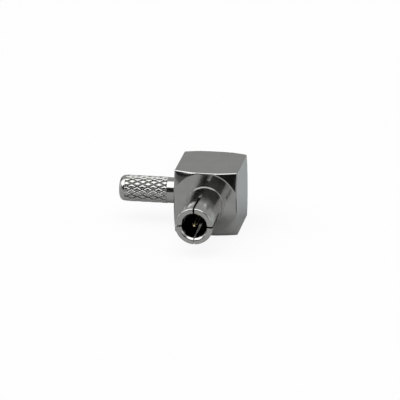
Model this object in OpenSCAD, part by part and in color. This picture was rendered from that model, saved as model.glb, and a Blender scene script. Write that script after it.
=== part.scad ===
// Right-angle push-fit crimp plug for a modem antenna lead.
// The origin is the middle of the housing's bottom face, with +Z up.
// The outer contact points along -Y and the crimp barrel along -X.

/* [Housing] */
// Width of the housing, along X
housing_w = 6.0; // [5.4:0.1:8]
// Depth of the housing, along Y
housing_d = 6.3; // [6.0:0.1:8]
// Height of the housing, along Z
housing_h = 6.2; // [5.6:0.1:8]
// Radius of the flat circle that the corner turning leaves on the front and back
turned_r = 3.09; // [2.6:0.01:3.6]
// Angle of the turned corner faces, from the front face
turned_angle = 25; // [10:1:40]
// Rounding of the edges
edge_r = 0.1; // [0.05:0.01:0.25]
// Radius of the chamber where the cable's core is soldered to the pin
chamber_r = 1.75; // [1.6:0.05:1.9]

/* [Outer contact] */
// Length of the outer contact in front of the housing
contact_len = 6.02; // [5:0.01:8]
// Radius of the neck
neck_r = 1.69; // [1.6:0.01:1.8]
// Radius of the snap bulge near the tip
bulge_r = 1.77; // [1.72:0.01:1.95]
// Length of the cylindrical land on the bulge
bulge_land = 0.7; // [0.2:0.1:1]
// Length of the slope from the neck up to the bulge
bulge_rise = 3.0; // [0.5:0.1:3.2]
// Radius of the rounding on the outside of the tip
nose_r = 0.2; // [0.1:0.01:0.25]
// Width of the chamfer where the tip opens into the bore
mouth_chamfer = 0.1; // [0.05:0.01:0.15]
// Radius of the rounding between that chamfer and the tip's flat ring
mouth_r = 0.25; // [0.1:0.01:0.3]
// Radius of the fillet where the neck meets the housing
root_fillet = 0.1; // [0.05:0.01:0.3]
// Radius of the bore
contact_bore_r = 1.17; // [1.0:0.01:1.18]
// Length of the four slots
slot_len = 4.2; // [3:0.05:4.6]
// Width of a slot at its closed end
slot_root_w = 0.28; // [0.15:0.01:0.4]
// Width of a slot at the tip
slot_tip_w = 0.17; // [0.1:0.01:0.3]
// Thickness of the shoulder let into the housing
shoulder_t = 0.35; // [0.2:0.05:0.6]
// Radius of the shank pressed into the housing
shank_r = 1.5; // [1.4:0.01:1.6]
// Length of the contact inside the housing
shank_len = 2.2; // [1.8:0.1:2.4]

/* [Insulator and centre pin] */
// Distance from the closed end of the slots back to the insulator's face
insulator_back = 0.45; // [0.2:0.05:1]
// Radius of the centre pin
pin_r = 0.25; // [0.2:0.01:0.3]
// Radius of the pin's rounded end
pin_end_r = 0.11; // [0.08:0.01:0.18]
// Length of the pin's tapered point
pin_taper = 0.45; // [0.2:0.05:0.8]
// Distance from the contact's tip back to the pin's tip
pin_recess = 0.18; // [0.1:0.01:1]
// Radius of the pin's solder pot
pot_r = 0.55; // [0.4:0.01:0.7]
// Width of the slot for the cable's core
pot_slot_w = 0.5; // [0.3:0.05:0.6]

/* [Crimp barrel] */
// Length of the barrel outside the housing
barrel_len = 5.73; // [4.5:0.01:8]
// Distance of the barrel's axis behind the front face
barrel_back = 3.4; // [3.2:0.05:3.6]
// Radius at the knurl's crests
knurl_r = 1.25; // [1.2:0.01:1.4]
// Depth of the knurl
knurl_depth = 0.08; // [0.05:0.01:0.12]
// Diamonds round the barrel
knurl_count = 15; // [12:1:20]
// Diamonds along the barrel
knurl_rows = 4; // [3:1:5]
// Length of one diamond
knurl_pitch = 1.0; // [0.8:0.01:1.1]
// Share of a diamond that its flat top takes
knurl_top = 0.7; // [0.3:0.05:0.8]
// Radius of the plain lip and the plain collar
collar_r = 1.22; // [1.19:0.01:1.24]
// Length of the plain lip, with its rounding
lip_len = 0.6; // [0.5:0.05:0.9]
// Radius of the lip's rounding
lip_round = 0.5; // [0.2:0.05:0.6]
// Radius of the barrel's bore
barrel_bore_r = 0.8; // [0.6:0.01:0.85]
// Radius of the stub pressed into the housing
stub_r = 1.05; // [1.0:0.01:1.1]
// Distance from the stub's end to the chamber
stub_short = 0.05; // [0.02:0.01:0.3]

/* [Rear cap] */
// Radius of the pressed cap
cap_r = 2.1; // [1.95:0.01:2.3]
// Thickness of the cap
cap_t = 0.5; // [0.3:0.05:0.7]
// How far the cap lies below the back face
cap_sink = 0.05; // [0.02:0.01:0.1]

/* [Hidden] */

$fn = 96;
// Overlap of cuts that run into each other
eps = 0.01;
// Clearance between a pressed piece and its seat, which keeps the solids apart
fit_gap = 0.01;
// How far the barrel's core lies below the knurl's grooves
core_below = 0.03;

front = -housing_d / 2;
back = housing_d / 2;
axis_z = housing_h / 2;
side = -housing_w / 2;

// Corner turning, as seen on a section through the contact's axis
turned_reach = norm([housing_w, housing_h]) / 2 + 1;
turned_setback = (turned_reach - turned_r) * tan(turned_angle);

// Outer contact
tip_y = front - contact_len;
root_r = neck_r + root_fillet;
slot_end_y = tip_y + slot_len;
insulator_y = slot_end_y + insulator_back;
land_y = tip_y + nose_r;
// Middle of the mouth's rounding, which runs out into the chamfer at 45 degrees
mouth_cr = contact_bore_r + mouth_chamfer + mouth_r * cos(45);
mouth_y = tip_y + mouth_r;
// The shank ends where the chamber begins
chamber_y = front + shank_len;

// Seat of the rear cap
cap_seat_y = back - cap_sink - cap_t;

// Crimp barrel
barrel_y = front + barrel_back;
barrel_tip_x = side - barrel_len;
knurl_x = barrel_tip_x + lip_len;
knurl_len = knurl_rows * knurl_pitch;
core_r = knurl_r - knurl_depth - core_below;
stub_end_x = -chamber_r - stub_short;

// Centre pin
pin_tip_y = tip_y + pin_recess;
pot_front_y = chamber_y + fit_gap;
pot_end_y = barrel_y + barrel_bore_r;
pot_slot_y = barrel_y - pot_slot_w / 2;

nickel = "silver";
gold = "gold";
dark_plastic = [0.1, 0.08, 0.07];

// Turns a profile, given as radius and place along +Y, round the contact's axis
module turned_along_y() {
    translate([0, 0, axis_z])
        rotate([-90, 0, 0])
            rotate_extrude()
                children();
}

// Turns a profile, given as radius and place along +X, round the barrel's axis
module turned_along_x() {
    translate([0, barrel_y, axis_z])
        rotate([0, 90, 0])
            rotate_extrude()
                children();
}

module bore_along_y(r, from_y, to_y) {
    turned_along_y()
        translate([0, from_y])
            square([r, to_y - from_y]);
}

module bore_along_x(r, from_x, to_x) {
    turned_along_x()
        translate([0, from_x])
            square([r, to_x - from_x]);
}

// Points of an arc round (cx, cy) from angle a to angle b
function arc(cx, cy, r, a, b, steps = 8) =
    [for (i = [0 : steps])
        let (t = a + (b - a) * i / steps)
        [cx + r * cos(t), cy + r * sin(t)]];

// Square with its corners rounded by circles, centred
module rounded_square(w, h, r) {
    square([w - 2 * r, h], center = true);
    square([w, h - 2 * r], center = true);
    for (sx = [-1, 1])
        for (sy = [-1, 1])
            translate([sx * (w / 2 - r), sy * (h / 2 - r)])
                circle(r);
}

// The block before its holes: three rounded prisms, cut by the corner turning
module housing_block() {
    intersection() {
        translate([0, 0, axis_z])
            rotate([90, 0, 0])
                linear_extrude(housing_d, center = true)
                    rounded_square(housing_w, housing_h, edge_r);
        linear_extrude(housing_h)
            rounded_square(housing_w, housing_d, edge_r);
        translate([0, 0, axis_z])
            rotate([90, 0, 90])
                linear_extrude(housing_w, center = true)
                    rounded_square(housing_d, housing_h, edge_r);
        turned_along_y()
            polygon([
                [0, front],
                [turned_r, front],
                [turned_reach, front + turned_setback],
                [turned_reach, back - turned_setback],
                [turned_r, back],
                [0, back]
            ]);
    }
}

module housing() {
    color(nickel)
        difference() {
            housing_block();
            bore_along_y(root_r + fit_gap, front - 1, front + shoulder_t);
            bore_along_y(shank_r + fit_gap, front, chamber_y + eps);
            bore_along_y(chamber_r, chamber_y, cap_seat_y + eps);
            bore_along_y(cap_r + fit_gap, cap_seat_y, back + 1);
            bore_along_x(stub_r + fit_gap, side - 1, 0);
        }
}

// Half section of the contact, with the axis on the left. From the tip: the outer
// rounding, the land, a smooth slope down to the neck, the root fillet and the shank,
// then back along the bore to the chamfer and the inner rounding of the tip.
module contact_profile() {
    slope_y = land_y + bulge_land;
    slope_steps = 6;
    polygon(concat(
        arc(bulge_r - nose_r, land_y, nose_r, -90, 0),
        [for (i = [0 : slope_steps])
            let (t = i / slope_steps)
            [neck_r + (bulge_r - neck_r) * (1 + cos(180 * t)) / 2, slope_y + bulge_rise * t]],
        arc(root_r, front - root_fillet, root_fillet, 180, 90, 5),
        [
            [root_r, front + shoulder_t],
            [shank_r, front + shoulder_t],
            [shank_r, chamber_y],
            [contact_bore_r, chamber_y],
            [contact_bore_r, mouth_y - mouth_r * cos(45) + mouth_chamfer]
        ],
        arc(mouth_cr, mouth_y, mouth_r, 225, 270, 6)));
}

// One cut across the whole contact, narrower at the tip, that makes two slots
module slot_cut() {
    translate([0, 0, axis_z - bulge_r - 1])
        linear_extrude(2 * bulge_r + 2)
            polygon([
                [-slot_tip_w / 2, tip_y - eps],
                [slot_tip_w / 2, tip_y - eps],
                [slot_root_w / 2, slot_end_y],
                [-slot_root_w / 2, slot_end_y]
            ]);
}

module outer_contact() {
    color(nickel)
        difference() {
            turned_along_y()
                contact_profile();
            slot_cut();
            translate([0, 0, axis_z])
                rotate([0, 90, 0])
                    translate([0, 0, -axis_z])
                        slot_cut();
        }
}

module insulator() {
    color(dark_plastic)
        turned_along_y()
            polygon([
                [pin_r + fit_gap, insulator_y],
                [contact_bore_r - fit_gap, insulator_y],
                [contact_bore_r - fit_gap, chamber_y],
                [pin_r + fit_gap, chamber_y]
            ]);
}

module center_pin() {
    color(gold)
        difference() {
            turned_along_y()
                polygon(concat(
                    arc(0, pin_tip_y + pin_end_r, pin_end_r, -90, 0, 5),
                    [
                        [pin_r, pin_tip_y + pin_taper],
                        [pin_r, pot_front_y],
                        [pot_r, pot_front_y],
                        [pot_r, pot_end_y],
                        [0, pot_end_y]
                    ]));
            translate([-pot_r - 1, pot_slot_y, axis_z - pot_slot_w / 2])
                cube([2 * pot_r + 2, pot_end_y - pot_slot_y + 1, pot_slot_w]);
        }
}

// Place of a knurl point: row along the barrel, column round it, and radius
function knurl_point(row, col, r) =
    let (a = 360 * col / knurl_count)
    [row * knurl_pitch / 2, r * sin(a), r * cos(a)];

function half_shift(row) = row % 2 / 2;

// The diamond knurl. Grooves cross at the root radius, and each diamond between
// four crossings carries a flat-topped pyramid. The end rows stay at the root radius.
module knurl() {
    last = 2 * knurl_rows;
    root = knurl_r - knurl_depth;
    n = knurl_count;
    crossings = [for (row = [0 : last]) for (j = [0 : n - 1])
        knurl_point(row, j + half_shift(row), root)];
    tops = [for (row = [1 : last - 1]) for (j = [0 : n - 1])
        let (c = j + half_shift(row) + 0.5)
        each [
            knurl_point(row - knurl_top, c, knurl_r),
            knurl_point(row, c + knurl_top / 2, knurl_r),
            knurl_point(row + knurl_top, c, knurl_r),
            knurl_point(row, c - knurl_top / 2, knurl_r)
        ]];
    ends = [[0, 0, 0], [last * knurl_pitch / 2, 0, 0]];
    first_top = len(crossings);
    first_end = first_top + len(tops);

    // Index of a crossing, counted round the barrel
    function crossing(row, j) = row * n + (j + n) % n;
    function diamond(row, j) =
        let (
            odd = row % 2,
            low = crossing(row, j),
            high = crossing(row, j + 1),
            left = crossing(row - 1, j + odd),
            right = crossing(row + 1, j + odd),
            t = first_top + 4 * ((row - 1) * n + j)
        )
        [
            [left, high, t + 1, t],
            [high, right, t + 2, t + 1],
            [right, low, t + 3, t + 2],
            [low, left, t, t + 3],
            [t, t + 1, t + 2, t + 3]
        ];
    sides = [for (row = [1 : last - 1]) for (j = [0 : n - 1]) each diamond(row, j)];
    // Half diamonds between the crossings of an end row and the next row
    end_fills = [for (j = [0 : n - 1]) each [
        [crossing(0, j), crossing(0, j + 1), crossing(1, j)],
        [crossing(last, j + 1), crossing(last, j), crossing(last - 1, j)]
    ]];
    caps = [for (j = [0 : n - 1]) each [
        [first_end, crossing(0, j + 1), crossing(0, j)],
        [first_end + 1, crossing(last, j), crossing(last, j + 1)]
    ]];
    translate([knurl_x, barrel_y, axis_z])
        polyhedron(points = concat(crossings, tops, ends), faces = concat(sides, end_fills, caps));
}

module crimp_barrel() {
    color(nickel)
        difference() {
            union() {
                knurl();
                turned_along_x()
                    polygon(concat(
                        [[0, barrel_tip_x]],
                        arc(collar_r - lip_round, barrel_tip_x + lip_round, lip_round, -90, 0),
                        [
                            [collar_r, knurl_x + eps],
                            [core_r, knurl_x + eps],
                            [core_r, knurl_x + knurl_len - eps],
                            [collar_r, knurl_x + knurl_len - eps],
                            [collar_r, side],
                            [stub_r, side],
                            [stub_r, stub_end_x],
                            [0, stub_end_x]
                        ]));
            }
            bore_along_x(barrel_bore_r, barrel_tip_x - 1, stub_end_x + 1);
        }
}

module rear_cap() {
    color(nickel)
        bore_along_y(cap_r, cap_seat_y, back - cap_sink);
}

housing();
outer_contact();
insulator();
center_pin();
crimp_barrel();
rear_cap();
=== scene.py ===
import bpy
import math
from mathutils import Matrix, Vector


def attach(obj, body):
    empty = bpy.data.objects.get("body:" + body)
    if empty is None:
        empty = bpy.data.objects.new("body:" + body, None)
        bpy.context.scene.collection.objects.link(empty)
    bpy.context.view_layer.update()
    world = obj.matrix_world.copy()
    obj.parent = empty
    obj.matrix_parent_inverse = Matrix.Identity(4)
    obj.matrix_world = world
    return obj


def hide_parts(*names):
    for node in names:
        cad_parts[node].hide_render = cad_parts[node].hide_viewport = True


# A right-angle antenna plug for a modem lead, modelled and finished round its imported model

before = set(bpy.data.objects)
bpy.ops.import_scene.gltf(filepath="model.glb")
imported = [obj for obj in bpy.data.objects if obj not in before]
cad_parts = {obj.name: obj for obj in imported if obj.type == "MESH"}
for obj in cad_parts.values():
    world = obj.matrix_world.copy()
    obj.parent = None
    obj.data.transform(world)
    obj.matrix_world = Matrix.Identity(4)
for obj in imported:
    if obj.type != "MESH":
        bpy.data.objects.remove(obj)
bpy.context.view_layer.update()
scene = bpy.context.scene
scene.view_settings.view_transform = "Standard"

MM = 0.001

# Main places and sizes of the plug, in millimetres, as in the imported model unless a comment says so.
# The contact points along -Y and the barrel along -X, both at the height AXIS_Z.
FRONT = -3.15
SIDE = -3.0
AXIS_Z = 3.1
BLOCK = (6.0, 6.3, 6.2)

# Corner turning: the circle left flat on the front, and how far back the turned corners go
TURNED_R = 3.09
TURNED_ANGLE = math.radians(25)
TURNED_REACH = 5.31
TURNED_SETBACK = (TURNED_REACH - TURNED_R) * math.tan(TURNED_ANGLE)
# Roundings of the block that stay in the scene: of the cube, round the flat circle, of the cut edges
EDGE = 0.14
CIRCLE_ROUND = 0.35
CUT_EDGE = 0.1

# Seats inside the block
SHOULDER_SEAT_R, SHOULDER_SEAT_Y = 1.8, -2.8
SHANK_SEAT_R = 1.51
CHAMBER_R, CHAMBER_Y = 1.75, -0.95
CAP_SEAT_R, CAP_SEAT_Y = 2.11, 2.6
STUB_SEAT_R = 1.06

# Outer contact
TIP_Y = -9.17
BULGE_R = 1.77
NECK_R = 1.69
BORE_R = 1.17
SHOULDER_R, SHOULDER_T = 1.79, 0.35
SHANK_R = 1.5
SLOT_LEN = 4.2
SLOT_ROOT_W = 0.28
# Turn of each slot from the top, and its width at the tip; the lower one is pinched most
SLOTS = ((0, 0.17), (90, 0.17), (180, 0.1), (270, 0.17))

# Crimp barrel; the knurl's pitch is a little longer than the model's
BARREL_Y = 0.25
BARREL_TIP_X = -8.73
BARREL_BORE_R = 0.8
STUB_R, STUB_END_X = 1.05, -1.8
LIP_ROUND = 0.5
COLLAR_R = 1.22
KNURL_X = -8.13
KNURL_LEN = 4.0
COLLAR_X = KNURL_X + KNURL_LEN
KNURL_COUNT = 15
KNURL_R = 1.25
KNURL_DEPTH = 0.08
KNURL_PITCH = 1.04
# Middle of the first row of diamonds behind the lip, and the turn of the whole knurl in degrees
KNURL_START = 0.165
KNURL_TURN = -9.5
# Each step in from a diamond's outline, and its rise from the groove
KNURL_STEPS = ((0.008, 0.0), (0.03, 0.036), (0.024, 0.02), (0.03, 0.014), (0.04, 0.007))

# The camera, fitted to the plug's edges in the photograph: degrees, millimetres and pixels
CAMERA_ANGLES = (10.3703, 20.1889, -0.5257)
CAMERA_AIM = (0, 0.05, 3.1)
CAMERA_AWAY = 400
CAMERA_SHIFT = (1.0376, 0.6667)
FILM_WIDTH = 36
FOCAL_PIXELS = 4241.5
PHOTO_PIXELS = 400

# Strengths of what the studio shows
SOFTBOX_LIGHT = 1.35
ROOM_LIGHT = 0.34
WALL_LIGHT = 0.42
FLAG_LIGHT = 0.008
BACKDROP_LIGHT = 0.985
FLOOR_GLOW = 1.03
# A trace of green, as in the light of the photograph
LIGHT_TINT = (("Red", 0.99), ("Green", 1.015), ("Blue", 0.99))
# The floor as the metal mirrors it: in front, behind, and with painted shade at the block's foot
FLOOR_FRONT = (0.463, 0.461, 0.465, 1)
FLOOR_BEHIND = (0.50, 0.515, 0.53, 1)
FLOOR_SHADE = (0.03, 0.03, 0.03, 1)
SHADE_WIDTH = 0.07
# The floor lies this far below the block, so that the two faces don't coincide
FLOOR_DROP = 0.002


# Camera

def photo_camera():
    """A long lens that stands where the photograph was taken from."""
    turn, rise, roll = (math.radians(angle) for angle in CAMERA_ANGLES)
    away = Vector((math.sin(turn) * math.cos(rise), -math.cos(turn) * math.cos(rise), math.sin(rise)))
    level = Vector((math.cos(turn), math.sin(turn), 0))
    upright = away.cross(level)
    right = level * math.cos(roll) + upright * math.sin(roll)
    up = -level * math.sin(roll) + upright * math.cos(roll)
    place = Vector(CAMERA_AIM) + CAMERA_AWAY * away - CAMERA_SHIFT[0] * right - CAMERA_SHIFT[1] * up
    lens = bpy.data.cameras.new("photo_camera")
    lens.sensor_width = FILM_WIDTH
    lens.lens = FILM_WIDTH * FOCAL_PIXELS / PHOTO_PIXELS
    lens.clip_start = 0.01
    lens.clip_end = 20
    camera = bpy.data.objects.new("photo_camera", lens)
    scene.collection.objects.link(camera)
    camera.matrix_world = Matrix.Translation(place * MM) @ Matrix((right, up, away)).transposed().to_4x4()
    scene.camera = camera


# Modelling

def start_piece():
    """Nothing stays selected, so the next operator works on the new piece alone."""
    if bpy.context.object and bpy.context.object.mode != "OBJECT":
        bpy.ops.object.mode_set(mode="OBJECT")
    bpy.ops.object.select_all(action="DESELECT")


def take(piece):
    """Selects one piece alone and makes it the one that is worked on."""
    start_piece()
    piece.select_set(True)
    bpy.context.view_layer.objects.active = piece


def edit(piece, select="DESELECT"):
    take(piece)
    bpy.ops.object.mode_set(mode="EDIT")
    bpy.ops.mesh.select_all(action=select)


def done():
    bpy.ops.object.mode_set(mode="OBJECT")


def clear_picks(mesh):
    for part in (mesh.vertices, mesh.edges, mesh.polygons):
        for item in part:
            item.select = False


def pick(piece, kind, test):
    """Selects the faces or points that pass a test on their place, in millimetres, in edit mode."""
    done()
    mesh = piece.data
    clear_picks(mesh)
    if kind == "FACE":
        for face in mesh.polygons:
            face.select = test(face.center / MM, face.normal)
    else:
        for point in mesh.vertices:
            point.select = test(point.co / MM)
    bpy.ops.object.mode_set(mode="EDIT")
    bpy.ops.mesh.select_mode(type=kind)


def pick_sharp(piece, angle, test):
    """Selects the edges sharper than an angle, in degrees, where both ends pass a test on their place."""
    edit(piece)
    bpy.ops.mesh.select_mode(type="EDGE")
    bpy.ops.mesh.edges_select_sharp(sharpness=math.radians(angle))
    done()
    mesh = piece.data
    sharp = [line for line in mesh.edges if line.select]
    kept = {line.index for line in sharp if all(test(mesh.vertices[v].co / MM) for v in line.vertices)}
    clear_picks(mesh)
    for line in mesh.edges:
        line.select = line.index in kept
    bpy.ops.object.mode_set(mode="EDIT")


def extrude(move):
    """Extrudes what is selected, and moves it by that many millimetres."""
    bpy.ops.mesh.extrude_region()
    bpy.ops.transform.translate(value=Vector(move) * MM)


def settle(piece):
    """Puts the piece's place into its mesh, so that its object stands at the origin."""
    take(piece)
    bpy.ops.object.transform_apply(location=True, rotation=True, scale=True)


def close_seams(piece, gap=0.0005):
    """Merges points that coincide, and turns all faces outwards."""
    edit(piece, "SELECT")
    bpy.ops.mesh.remove_doubles(threshold=gap * MM)
    bpy.ops.mesh.normals_make_consistent(inside=False)
    done()


def apply(piece, kind, **settings):
    """Adds a modifier and applies it."""
    take(piece)
    modifier = piece.modifiers.new(kind.lower(), kind)
    for key, value in settings.items():
        setattr(modifier, key, value)
    bpy.ops.object.modifier_apply(modifier=modifier.name)


def cut(piece, *tools, keep="DIFFERENCE"):
    for tool in tools:
        apply(piece, "BOOLEAN", object=tool, operation=keep, solver="EXACT")
        bpy.data.objects.remove(tool)


def soften(piece, width, segments, angle):
    """Breaks the sharp edges, as tumbling does."""
    apply(piece, "BEVEL", width=width * MM, segments=segments, limit_method="ANGLE",
          angle_limit=math.radians(angle), miter_outer="MITER_ARC", use_clamp_overlap=True)


def shade(piece, angle=30):
    take(piece)
    bpy.ops.object.shade_smooth_by_angle(angle=math.radians(angle))
    apply(piece, "WEIGHTED_NORMAL", keep_sharp=True, weight=60)


def arc(radius, at, r, a, b, steps=8):
    """Points of a profile on a circle of radius r round (radius, at), from a to b degrees."""
    turns = [math.radians(a + (b - a) * i / steps) for i in range(steps + 1)]
    return [(radius + r * math.cos(t), at + r * math.sin(t)) for t in turns]


def lathe(name, points, along="Y", steps=128, middle=(0, 0)):
    """Turns a profile of (radius, place along the axis), drawn by extruding one point."""
    start_piece()
    bpy.ops.mesh.primitive_plane_add(size=MM)
    piece = bpy.context.object
    piece.name = name
    axis = (0, 1, 0) if along == "Y" else (1, 0, 0)
    across, height = middle

    def place(radius, at):
        if along == "Y":
            return Vector((across + radius, at, height)) * MM
        return Vector((at, across + radius, height)) * MM

    bpy.ops.object.mode_set(mode="EDIT")
    bpy.ops.mesh.select_mode(type="VERT")
    bpy.ops.mesh.select_all(action="SELECT")
    bpy.ops.mesh.merge(type="CENTER")
    last = place(*points[0])
    bpy.ops.transform.translate(value=last)
    for radius, at in points[1:]:
        here = place(radius, at)
        extrude((here - last) / MM)
        last = here
    bpy.ops.mesh.select_all(action="SELECT")
    centre = Vector((across, 0, height)) if along == "Y" else Vector((0, across, height))
    bpy.ops.mesh.spin(steps=steps, angle=2 * math.pi, center=centre * MM, axis=axis)
    done()
    close_seams(piece)
    return piece


def box(name, low, high):
    start_piece()
    middle = [(a + b) / 2 * MM for a, b in zip(low, high)]
    size = [(b - a) * MM for a, b in zip(low, high)]
    bpy.ops.mesh.primitive_cube_add(size=1, location=middle, scale=size)
    piece = bpy.context.object
    piece.name = name
    settle(piece)
    return piece


# Materials

class Sums:
    """Short ways to add a shader's nodes and to write its sums."""

    def __init__(self, tree):
        self.nodes = tree.nodes
        self.links = tree.links

    def node(self, kind, **settings):
        made = self.nodes.new(kind)
        for key, value in settings.items():
            setattr(made, key, value)
        return made

    def feed(self, source, target):
        if isinstance(source, (int, float, tuple)):
            target.default_value = source
        else:
            self.links.new(source, target)

    def sum(self, operation, a, b=0.0):
        made = self.node("ShaderNodeMath", operation=operation)
        for source, target in zip((a, b), made.inputs):
            self.feed(source, target)
        return made.outputs[0]

    def times(self, first, *others):
        for other in others:
            first = self.sum("MULTIPLY", first, other)
        return first

    def plus(self, first, *others):
        for other in others:
            first = self.sum("ADD", first, other)
        return first

    def minus(self, a, b):
        return self.sum("SUBTRACT", a, b)

    def less(self, value):
        """The rest of a share, up to 1."""
        return self.minus(1.0, value)

    def rise(self, value, low, high):
        """Goes smoothly from 0 to 1 as the value goes from low to high."""
        made = self.node("ShaderNodeMapRange", interpolation_type="SMOOTHSTEP")
        for source, target in zip((value, low, high), made.inputs):
            self.feed(source, target)
        return made.outputs[0]

    def parts(self, place):
        made = self.node("ShaderNodeSeparateXYZ")
        self.links.new(place, made.inputs[0])
        return made.outputs[0], made.outputs[1], made.outputs[2]

    def mix_colours(self, share, first, second, **settings):
        made = self.node("ShaderNodeMix", data_type="RGBA", **settings)
        for source, target in ((share, made.inputs[0]), (first, made.inputs["A"]), (second, made.inputs["B"])):
            self.feed(source, target)
        return made.outputs["Result"]

    def mix_shaders(self, share, first, second):
        made = self.node("ShaderNodeMixShader")
        for source, target in zip((share, first, second), made.inputs):
            self.feed(source, target)
        return made.outputs[0]


class Finish(Sums):
    """A material whose patterns are laid out in millimetres on the piece."""

    def __init__(self, name):
        self.material = bpy.data.materials.new(name)
        self.material.use_nodes = True
        super().__init__(self.material.node_tree)
        self.shader = self.nodes["Principled BSDF"]
        self.place = self.node("ShaderNodeMapping")
        self.place.inputs["Scale"].default_value = (1 / MM,) * 3
        coordinates = self.node("ShaderNodeTexCoord")
        self.links.new(coordinates.outputs["Object"], self.place.inputs["Vector"])

    def plate(self, colour, rough):
        """Gives the shader its metal."""
        self.links.new(colour, self.shader.inputs["Base Color"])
        self.shader.inputs["Metallic"].default_value = 1
        self.links.new(rough, self.shader.inputs["Roughness"])

    def stretched(self, scale):
        made = self.node("ShaderNodeMapping")
        made.inputs["Scale"].default_value = scale
        self.links.new(self.place.outputs[0], made.inputs["Vector"])
        return made.outputs[0]

    def noise(self, scale, detail=3.0, rough=0.5, stretch=None):
        made = self.node("ShaderNodeTexNoise")
        self.links.new(self.stretched(stretch) if stretch else self.place.outputs[0], made.inputs["Vector"])
        made.inputs["Scale"].default_value = scale
        made.inputs["Detail"].default_value = detail
        made.inputs["Roughness"].default_value = rough
        return made.outputs["Fac"]

    def between(self, value, low, high, start=0.3, end=0.7):
        """Carries a pattern's start and end to the values low and high."""
        made = self.node("ShaderNodeMapRange")
        for source, target in zip((value, start, end, low, high), made.inputs):
            self.feed(source, target)
        return made.outputs[0]

    def colours(self, value, stops):
        made = self.node("ShaderNodeValToRGB")
        ramp = made.color_ramp
        while len(ramp.elements) < len(stops):
            ramp.elements.new(0.5)
        for element, (at, colour) in zip(ramp.elements, stops):
            element.position = at
            element.color = (*colour, 1)
        self.feed(value, made.inputs[0])
        return made.outputs["Color"]

    def bump(self, height, strength, depth):
        made = self.node("ShaderNodeBump")
        made.inputs["Strength"].default_value = strength
        made.inputs["Distance"].default_value = depth * MM
        self.links.new(height, made.inputs["Height"])
        self.links.new(made.outputs["Normal"], self.shader.inputs["Normal"])

    def dimmed(self, colour, share):
        return self.mix_colours(1, colour, share, blend_type="MULTIPLY")

    def turned_place(self, along, across, height):
        """Distance from the axis of a turned piece and place along it, in millimetres."""
        x, y, z = self.parts(self.place.outputs[0])
        a = self.minus(x if along == "Y" else y, across)
        b = self.minus(z, height)
        return self.sum("SQRT", self.plus(self.times(a, a), self.times(b, b))), y if along == "Y" else x


def block_nickel():
    """Plated and lightly tumbled: a soft grain, faint clouding and a few fine marks."""
    f = Finish("block_nickel")
    cloud = f.noise(0.9, 4)
    grain = f.noise(26, 4, 0.6)
    marks = f.noise(7, 3, 0.6, stretch=(0.35, 1, 2.2))
    wave = f.noise(1.4, 2)
    tone = f.plus(f.times(cloud, 0.7), f.times(grain, 0.3))
    worn = f.plus(f.times(marks, 0.5), f.times(grain, 0.5))
    f.plate(f.colours(tone, [(0.3, (0.545, 0.535, 0.525)), (0.5, (0.60, 0.592, 0.585)),
                             (0.7, (0.64, 0.632, 0.625))]), f.between(worn, 0.09, 0.15))
    f.bump(f.plus(wave, f.times(grain, 0.03)), 0.5, 0.012)
    return f.material


def turned_nickel(name, along, rough, light=None):
    """Plated turned brass with fine tool rings; light, where given, darkens the colour by the share of light
    that reaches each place, as painted shade.
    """
    f = Finish(name)
    cloud = f.noise(1.6, 4)
    rings = f.noise(14, 3, 0.6, stretch=(0.02, 1, 0.02) if along == "Y" else (1, 0.02, 0.02))
    grain = f.noise(30, 3)
    tone = f.plus(f.times(cloud, 0.6), f.times(rings, 0.4))
    colour = f.colours(tone, [(0.3, (0.60, 0.59, 0.575)), (0.52, (0.655, 0.645, 0.635)),
                              (0.7, (0.69, 0.682, 0.675))])
    f.plate(f.dimmed(colour, light(f)) if light else colour, f.between(grain, *rough))
    f.bump(f.plus(rings, f.times(grain, 0.3)), 0.1, 0.0015)
    return f.material


def bore_light(f):
    """Painted shade: the colour of the contact's bore wall is darkened behind the mouth, where little light
    reaches.
    """
    radius, at = f.turned_place("Y", 0, AXIS_Z)
    wall = f.between(radius, 1, 0, BORE_R + 0.008, BORE_R + 0.026)
    deep = f.between(at, 0, 1, TIP_Y + 0.2, TIP_Y + 0.75)
    return f.between(f.times(wall, deep), 1, 0.07, 0, 1)


def groove_light(f):
    """Painted shade: the colour of the knurl darkens in its grooves."""
    radius, at = f.turned_place("X", BARREL_Y, AXIS_Z)
    knurled = f.times(f.sum("GREATER_THAN", at, KNURL_X), f.sum("LESS_THAN", at, COLLAR_X))
    deep = f.between(radius, 1, 0, KNURL_R - KNURL_DEPTH, KNURL_R - 0.015)
    return f.between(f.times(knurled, deep), 1, 0.4, 0, 1)


def pin_gold():
    """Pale gold plate with fine rings; behind the tip its colour is darkened as painted shade, so that only
    the tip looks lit by the mouth.
    """
    f = Finish("pin_gold")
    cloud = f.noise(3, 3)
    rings = f.noise(20, 3, 0.6, stretch=(0.02, 1, 0.02))
    colour = f.colours(cloud, [(0.3, (0.84, 0.66, 0.34)), (0.7, (0.92, 0.79, 0.50))])
    at = f.turned_place("Y", 0, AXIS_Z)[1]
    # Painted shade: the pin's colour darkens from the tip back into the bore
    lit = f.between(at, 1, 0.03, TIP_Y + 0.3, TIP_Y + 0.85)
    f.plate(f.dimmed(colour, lit), f.between(rings, 0.14, 0.24))
    f.bump(rings, 0.15, 0.003)
    return f.material


def bead_plastic():
    """The insulator, coloured near black, dull with a fine speckle."""
    f = Finish("bead_plastic")
    speckle = f.noise(12, 4, 0.65)
    colour = f.colours(speckle, [(0.35, (0.010, 0.008, 0.007)), (0.65, (0.022, 0.018, 0.015))])
    f.links.new(colour, f.shader.inputs["Base Color"])
    f.links.new(f.between(speckle, 0.42, 0.58), f.shader.inputs["Roughness"])
    f.bump(speckle, 0.2, 0.006)
    return f.material


# Pieces

def dress(piece, node, material):
    settle(piece)
    piece.data.materials.clear()
    piece.data.materials.append(material)
    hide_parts(node)
    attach(piece, "root")


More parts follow.
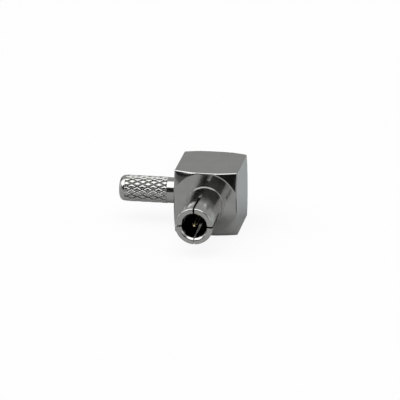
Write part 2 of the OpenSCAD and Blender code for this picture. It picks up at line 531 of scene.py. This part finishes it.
def make_block():
    """The machined block: a cube with rounded edges and turned corners, then bored."""
    w, d, h = BLOCK
    piece = box("block", (-w / 2, -d / 2, 0), (w / 2, d / 2, h))
    edit(piece, "SELECT")
    bpy.ops.mesh.bevel(offset=EDGE * MM, segments=6, affect="EDGES")
    done()
    # What the corner turning leaves: a drum with both ends drawn in, and a soft line round each flat
    inner = TURNED_R - CIRCLE_ROUND * math.tan(TURNED_ANGLE / 2)
    line = arc(inner, FRONT + CIRCLE_ROUND, CIRCLE_ROUND, -90, -65, 4)
    ends = [(0, FRONT)] + line + [(TURNED_REACH, FRONT + TURNED_SETBACK)]
    # In 90 steps, the cube's corners fall in the middle of a facet
    turned = lathe("turned", ends + [(r, -y) for r, y in reversed(ends)], steps=90, middle=(0, AXIS_Z))
    cut(piece, turned, keep="INTERSECT")
    past = 4
    bores = lathe("bores", [(0, -past), (SHOULDER_SEAT_R, -past), (SHOULDER_SEAT_R, SHOULDER_SEAT_Y),
                            (SHANK_SEAT_R, SHOULDER_SEAT_Y), (SHANK_SEAT_R, CHAMBER_Y),
                            (CHAMBER_R, CHAMBER_Y), (CHAMBER_R, CAP_SEAT_Y), (CAP_SEAT_R, CAP_SEAT_Y),
                            (CAP_SEAT_R, past), (0, past)], middle=(0, AXIS_Z))
    side_bore = lathe("side_bore", [(0, -past), (STUB_SEAT_R, -past), (STUB_SEAT_R, 0), (0, 0)],
                      along="X", middle=(BARREL_Y, AXIS_Z))
    cut(piece, bores, side_bore)

    def broken(p):
        """The outer edges and the rim of the cap's seat are broken, the other seats stay sharp."""
        outside = math.hypot(p.x, p.z - AXIS_Z) > 2.05 and (p.y < 2.5 or p.y > 3)
        at_barrel = p.x < SIDE + 0.1 and math.hypot(p.y - BARREL_Y, p.z - AXIS_Z) < 1.2
        return outside and not at_barrel

    pick_sharp(piece, 19, broken)
    bpy.ops.mesh.bevel(offset=CUT_EDGE * MM, segments=4, affect="EDGES", clamp_overlap=False)
    # What the bevel pushed past the cube's faces goes back onto them
    for axis, low, high in ((0, -w / 2, w / 2), (1, -d / 2, d / 2), (2, 0, h)):
        for face, over in ((low, lambda p: p[axis] < low), (high, lambda p: p[axis] > high)):
            pick(piece, "VERT", over)
            centre = [0, 0, 0]
            centre[axis] = face * MM
            flat = [0 if i == axis else 1 for i in range(3)]
            bpy.ops.transform.resize(value=flat, center_override=centre)
    bpy.ops.mesh.select_all(action="SELECT")
    bpy.ops.mesh.remove_doubles(threshold=0.001 * MM)
    done()
    shade(piece)
    dress(piece, "housing", block_nickel())


def make_contact():
    """The turned outer contact: bulge, neck, root fillet and bore, split by four slots."""
    nose, mouth, chamfer, land, rise, root = 0.16, 0.25, 0.1, 0.7, 3.0, 0.045
    land_y = TIP_Y + nose
    # From the bulge's land down to the neck in half a wave
    steps = 16
    slope = [(NECK_R + (BULGE_R - NECK_R) * (1 + math.cos(math.pi * i / steps)) / 2,
              land_y + land + rise * i / steps) for i in range(steps + 1)]
    points = arc(BULGE_R - nose, land_y, nose, -90, 0, 10) + slope
    # Rings beside the slots' ends and the root keep their rounding off the neck between them
    beside = 0.06
    points += [(NECK_R, TIP_Y + SLOT_LEN + beside), (NECK_R, FRONT - root - beside)]
    points += arc(NECK_R + root, FRONT - root, root, 180, 90, 8)
    points += [(SHOULDER_R - 0.02, FRONT), (SHOULDER_R, FRONT + 0.02), (SHOULDER_R, FRONT + SHOULDER_T),
               (SHANK_R, FRONT + SHOULDER_T), (SHANK_R, CHAMBER_Y), (BORE_R, CHAMBER_Y)]
    # The mouth's chamfer at 45 degrees, and the rounding from it to the nose
    leaning = math.sqrt(0.5)
    points.append((BORE_R, TIP_Y + mouth * (1 - leaning) + chamfer))
    points += arc(BORE_R + chamfer + mouth * leaning, TIP_Y + mouth, mouth, 225, 270, 8)
    points.append(points[0])
    piece = lathe("contact", points, steps=160, middle=(0, AXIS_Z))
    axis = Matrix.Translation((0, 0, AXIS_Z * MM))
    half = SLOT_ROOT_W / 2
    for turn, tip_w in SLOTS:
        slit = box("slit", (-half, TIP_Y - 0.2, AXIS_Z + 0.5), (half, TIP_Y + SLOT_LEN, AXIS_Z + 3))
        edit(slit)
        pick(slit, "FACE", lambda c, n: n.y < -0.9)
        bpy.ops.transform.resize(value=(tip_w / SLOT_ROOT_W, 1, 1), center_override=(0, 0, AXIS_Z * MM))
        done()
        slit.data.transform(axis @ Matrix.Rotation(math.radians(turn), 4, "Y") @ axis.inverted())
        cut(piece, slit)
    soften(piece, 0.03, 2, 35)
    shade(piece, 35)
    dress(piece, "outer_contact",
          turned_nickel("contact_nickel", "Y", (0.12, 0.19), bore_light))


def make_bead():
    """The insulator: a sleeve round the pin, with its face behind the slots."""
    face = TIP_Y + 4.65
    inner, outer = 0.26, 1.16
    piece = lathe("bead", [(inner, face + 0.05), (0.31, face), (1.08, face), (outer, face + 0.08),
                           (outer, CHAMBER_Y), (inner, CHAMBER_Y), (inner, face + 0.05)], middle=(0, AXIS_Z))
    shade(piece)
    dress(piece, "insulator", bead_plastic())


def make_pin():
    """The gold centre pin: a round tip on a taper, and a slotted solder pot behind."""
    tip, tip_r, taper, pin_r = TIP_Y + 0.18, 0.11, 0.45, 0.25
    pot_r, pot_y, pot_end = 0.55, CHAMBER_Y + 0.01, 1.05
    edge = 0.05
    points = [(0, tip)] + arc(0, tip + tip_r, tip_r, -80, 0, 6) + [(pin_r, tip + taper), (pin_r, pot_y)]
    points += [(pot_r - edge, pot_y), (pot_r, pot_y + edge), (pot_r, pot_end - edge),
               (pot_r - edge, pot_end), (0, pot_end)]
    piece = lathe("pin", points, steps=64, middle=(0, AXIS_Z))
    slot = box("pot_slot", (-1, 0, AXIS_Z - 0.25), (1, 2, AXIS_Z + 0.25))
    cut(piece, slot)
    soften(piece, 0.015, 2, 40)
    shade(piece)
    dress(piece, "center_pin", pin_gold())


def make_knurl():
    """One diamond, copied over a flat sheet that is then bent round into the knurl."""
    root = KNURL_R - KNURL_DEPTH
    long, wide = KNURL_PITCH, 2 * math.pi * root / KNURL_COUNT
    start_piece()
    # A square stood on its corner and stretched to the diamond, facing -Y
    bpy.ops.mesh.primitive_circle_add(vertices=4, radius=0.5 * MM, fill_type="NGON",
                                      rotation=(math.radians(90), 0, 0))
    tile = bpy.context.object
    settle(tile)
    edit(tile, "SELECT")
    bpy.ops.mesh.select_mode(type="FACE")
    bpy.ops.mesh.select_all(action="SELECT")
    bpy.ops.transform.resize(value=(wide, 1, long), center_override=(0, 0, 0))
    # The groove's floor, its slope, and the rounded shoulder of the flat top
    for inward, rise in KNURL_STEPS:
        bpy.ops.mesh.inset(thickness=inward * MM, depth=0)
        bpy.ops.transform.translate(value=(0, -rise * MM, 0))
    bpy.ops.mesh.subdivide(number_cuts=2)
    done()
    copies = []
    for row in range(-1, 9):
        for column in range(KNURL_COUNT):
            copy = tile.copy()
            copy.data = tile.data.copy()
            across = (column + (row % 2) / 2 - KNURL_COUNT / 2 + 0.25) * wide
            copy.data.transform(Matrix.Translation(Vector((across, 0, KNURL_START + row * long / 2)) * MM))
            scene.collection.objects.link(copy)
            copies.append(copy)
    bpy.data.objects.remove(tile)
    start_piece()
    for copy in copies:
        copy.select_set(True)
    sheet = copies[0]
    sheet.name = "knurl"
    bpy.context.view_layer.objects.active = sheet
    bpy.ops.object.join()
    # The end rows are cut through, where the lip and the collar stop the knurl
    for at, keep_up in ((0, True), (KNURL_LEN, False)):
        edit(sheet, "SELECT")
        bpy.ops.mesh.bisect(plane_co=(0, 0, at * MM), plane_no=(0, 0, 1), clear_inner=keep_up,
                            clear_outer=not keep_up, threshold=0.0001 * MM)
        done()
    # Bent so that its two sides meet
    reach = max(v.co.x for v in sheet.data.vertices) - min(v.co.x for v in sheet.data.vertices)
    apply(sheet, "SIMPLE_DEFORM", deform_method="BEND", deform_axis="Z",
          angle=2 * math.pi * reach / (KNURL_COUNT * wide * MM))
    sheet.data.transform(Matrix.Translation(Vector((KNURL_X, BARREL_Y, AXIS_Z)) * MM)
                         @ Matrix.Rotation(math.radians(KNURL_TURN), 4, "X")
                         @ Matrix.Rotation(math.radians(90), 4, "Y")
                         @ Matrix.Translation((0, -root * MM, 0)))
    edit(sheet, "SELECT")
    bpy.ops.mesh.select_mode(type="VERT")
    bpy.ops.mesh.select_all(action="SELECT")
    bpy.ops.mesh.remove_doubles(threshold=0.003 * MM)
    # Both ends are turned down inside the lip and the collar, and joined to close the ring
    bpy.ops.mesh.select_all(action="DESELECT")
    bpy.ops.mesh.select_mode(type="EDGE")
    bpy.ops.mesh.select_non_manifold(extend=False)
    bpy.ops.mesh.extrude_region()
    bpy.ops.transform.resize(value=(1, 0.86, 0.86), center_override=(0, BARREL_Y * MM, AXIS_Z * MM))
    bpy.ops.mesh.bridge_edge_loops()
    done()
    close_seams(sheet)
    return sheet


def make_barrel():
    """The crimp barrel: a rounded lip, the diamond knurl and a plain collar against the block."""
    mouth = (BARREL_BORE_R, BARREL_TIP_X + 0.03)
    core_r = 1.08
    profile = [mouth] + arc(COLLAR_R - LIP_ROUND, BARREL_TIP_X + LIP_ROUND, LIP_ROUND, -79, 0, 14)
    # The lip and the collar are rounded where they meet the knurl
    profile += [(COLLAR_R, KNURL_X - 0.04), (COLLAR_R - 0.02, KNURL_X - 0.01), (COLLAR_R - 0.05, KNURL_X),
                (core_r, KNURL_X), (core_r, COLLAR_X), (COLLAR_R - 0.05, COLLAR_X),
                (COLLAR_R - 0.02, COLLAR_X + 0.01), (COLLAR_R, COLLAR_X + 0.04),
                (COLLAR_R, SIDE - 0.05), (COLLAR_R - 0.04, SIDE), (STUB_R, SIDE),
                (STUB_R, STUB_END_X), (BARREL_BORE_R, STUB_END_X), mouth]
    piece = lathe("barrel", profile, along="X", steps=120, middle=(BARREL_Y, AXIS_Z))
    sheet = make_knurl()
    take(piece)
    sheet.select_set(True)
    bpy.ops.object.join()
    shade(piece, 25)
    dress(piece, "crimp_barrel",
          turned_nickel("barrel_nickel", "X", (0.09, 0.16), groove_light))


def make_cap():
    """The disc pressed into the back, with its rim broken."""
    outside, rim = 3.1, 0.06
    piece = lathe("cap", [(0, CAP_SEAT_Y), (2.1, CAP_SEAT_Y), (2.1, outside - rim), (2.1 - rim, outside),
                          (0, outside)], middle=(0, AXIS_Z))
    shade(piece)
    dress(piece, "rear_cap", turned_nickel("cap_nickel", "Y", (0.1, 0.18)))


# Studio

def studio_floor():
    """A plain pale floor, which the metal mirrors as grey."""
    start_piece()
    bpy.ops.mesh.primitive_plane_add(size=6, location=(0, 0, -FLOOR_DROP * MM))
    floor = bpy.context.object
    floor.name = "floor"
    material = bpy.data.materials.new("studio_floor")
    material.use_nodes = True
    floor.data.materials.append(material)
    s = Sums(material.node_tree)
    s.nodes.clear()
    x, y, _ = s.parts(s.node("ShaderNodeTexCoord").outputs["Object"])
    # Painted shade: the floor close round the block's foot is darkened as if in its shade, and follows the
    # turned corners
    reach = s.sum("SQRT", s.plus(s.times(x, x), (AXIS_Z * MM) ** 2))
    setback = s.times(s.minus(reach, TURNED_R * MM), math.tan(TURNED_ANGLE))
    behind = s.minus(s.plus(s.sum("ABSOLUTE", y), setback), BLOCK[1] / 2 * MM)
    beside = s.minus(s.sum("ABSOLUTE", x), BLOCK[0] / 2 * MM)
    near = s.less(s.rise(s.sum("MAXIMUM", beside, behind), 0.0, SHADE_WIDTH * MM))
    tone = s.mix_colours(s.rise(y, -3 * MM, 6 * MM), FLOOR_FRONT, FLOOR_BEHIND)
    mirrored = s.node("ShaderNodeBsdfDiffuse")
    s.links.new(s.mix_colours(near, tone, FLOOR_SHADE), mirrored.inputs["Color"])
    # Seen directly it is white paper, lit so evenly that hardly a shadow falls on it
    glow = s.node("ShaderNodeEmission")
    glow.inputs["Strength"].default_value = FLOOR_GLOW
    paper = s.node("ShaderNodeBsdfDiffuse")
    paper.inputs["Color"].default_value = (0.9, 0.9, 0.9, 1)
    seen = s.mix_shaders(0.15, glow.outputs[0], paper.outputs[0])
    direct = s.node("ShaderNodeLightPath").outputs["Is Camera Ray"]
    out = s.node("ShaderNodeOutputMaterial")
    s.links.new(s.mix_shaders(direct, mirrored.outputs[0], seen), out.inputs[0])


def studio_room():
    """The room that the metal mirrors, laid out by direction: x to the right, y back and z up.

    Each pair of numbers is where an edge of a light or a dark flag begins and ends.
    """
    world = bpy.data.worlds.new("studio")
    scene.world = world
    world.use_nodes = True
    s = Sums(world.node_tree)
    s.nodes.clear()
    x, y, z = s.parts(s.node("ShaderNodeTexCoord").outputs["Generated"])
    # The softbox hangs over the front, its lower edge higher on the right.
    # The turn goes from the front horizon over the top to the back, 0 to 180 degrees.
    turn = s.times(s.sum("ARCTAN2", z, s.times(y, -1.0)), 180 / math.pi)
    front_half = s.less(s.rise(turn, 97, 106))
    above = s.rise(s.minus(z, s.times(s.rise(x, -0.5, -0.35), 0.2)), 0.43, 0.5)
    softbox = s.times(above, front_half, s.less(s.rise(x, 0.42, 0.6)))
    # Two pale walls stand far to the left and the right
    walls = s.times(s.rise(s.sum("ABSOLUTE", x), 0.78, 0.88), s.rise(z, 0.08, 0.2))
    # A dark flag stands in front below the softbox, and reaches to the horizon except on the left
    low = s.times(s.rise(x, -0.5, -0.4), s.rise(z, -0.09, -0.04))
    flag = s.sum("MAXIMUM", s.rise(z, 0.25, 0.29), low)
    # A gap in it round the front axis lights the slope of the contact's neck
    gap = s.times(s.less(s.rise(y, -0.953, -0.937)), s.rise(x, -0.14, -0.08))
    flag = s.times(flag, s.less(gap), s.less(above), s.less(s.rise(y, -0.2, 0.0)),
                   s.less(s.rise(x, 0.6, 0.68)))
    # A thinner one stands on the left, where the upper left corner and the barrel mirror it
    left = s.times(s.less(s.rise(x, -0.62, -0.5)), s.rise(z, 0.05, 0.12), s.less(above),
                   s.rise(x, -0.92, -0.8))
    flag = s.sum("MAXIMUM", flag, s.times(left, 0.75))
    level = s.plus(s.times(s.less(flag), ROOM_LIGHT), FLAG_LIGHT)
    level = s.plus(level, s.times(softbox, SOFTBOX_LIGHT), s.times(walls, s.less(softbox), WALL_LIGHT))
    colour = s.node("ShaderNodeCombineColor")
    for name, tint in LIGHT_TINT:
        s.links.new(s.times(level, tint), colour.inputs[name])
    mirrored = s.node("ShaderNodeBackground")
    mirrored.inputs["Strength"].default_value = 1
    s.links.new(colour.outputs[0], mirrored.inputs["Color"])
    # Seen directly it is a plain white backdrop
    backdrop = s.node("ShaderNodeBackground")
    backdrop.inputs["Color"].default_value = (1, 1, 1, 1)
    backdrop.inputs["Strength"].default_value = BACKDROP_LIGHT
    direct = s.node("ShaderNodeLightPath").outputs["Is Camera Ray"]
    out = s.node("ShaderNodeOutputWorld")
    s.links.new(s.mix_shaders(direct, mirrored.outputs[0], backdrop.outputs[0]), out.inputs[0])


photo_camera()
studio_floor()
studio_room()
make_block()
make_contact()
make_bead()
make_pin()
make_barrel()
make_cap()

start_piece()
